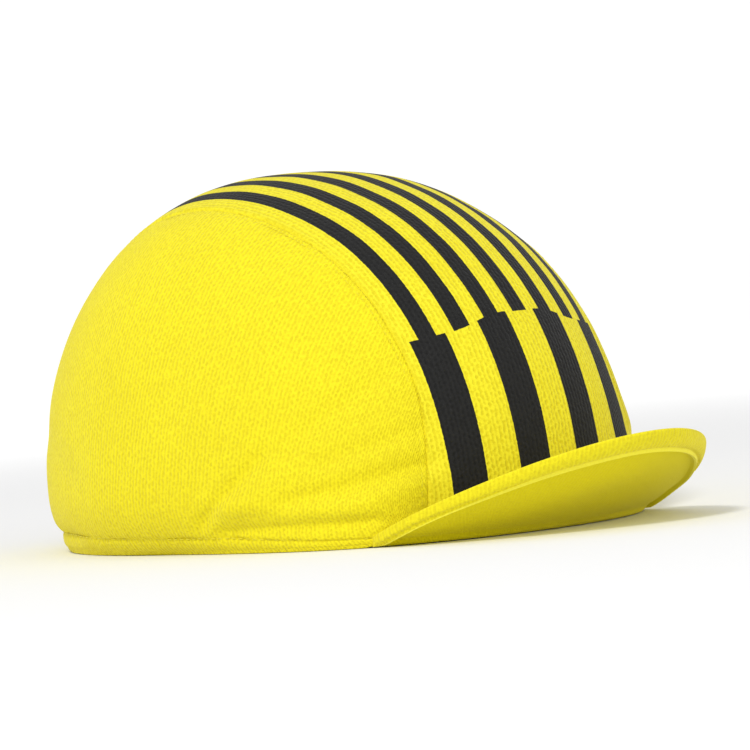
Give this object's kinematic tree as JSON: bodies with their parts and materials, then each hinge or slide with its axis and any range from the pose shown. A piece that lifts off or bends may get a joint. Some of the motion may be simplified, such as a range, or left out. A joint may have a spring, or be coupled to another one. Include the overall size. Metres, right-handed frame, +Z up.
{
  "type": "cycling cap",
  "caption": "Soft knitted cycling cap with a striped centre panel, two half-moon side panels, a short turned-up peak and an elastic inner band.",
  "frame": {"origin": "middle of the overall box, in the plane of the rim that the cap rests on", "axes": "+Z up through the crown, -Y towards the peak, +X to the wearer's left"},
  "size_m": [0.154, 0.2392, 0.1095],
  "materials": {
    "striped_knit": "matt knitted polyester with printed dark stripes",
    "yellow_knit": "matt knitted polyester",
    "peak_cloth": "matt cloth over a stiff board, stitched round the edge",
    "band_tape": "ribbed elastic tape"
  },
  "bodies": {
    "root": {"centre_panel": "striped_knit", "side_panel_right": "yellow_knit", "side_panel_left": "yellow_knit", "peak": "peak_cloth", "sweatband": "band_tape"}
  },
  "joints": []
}
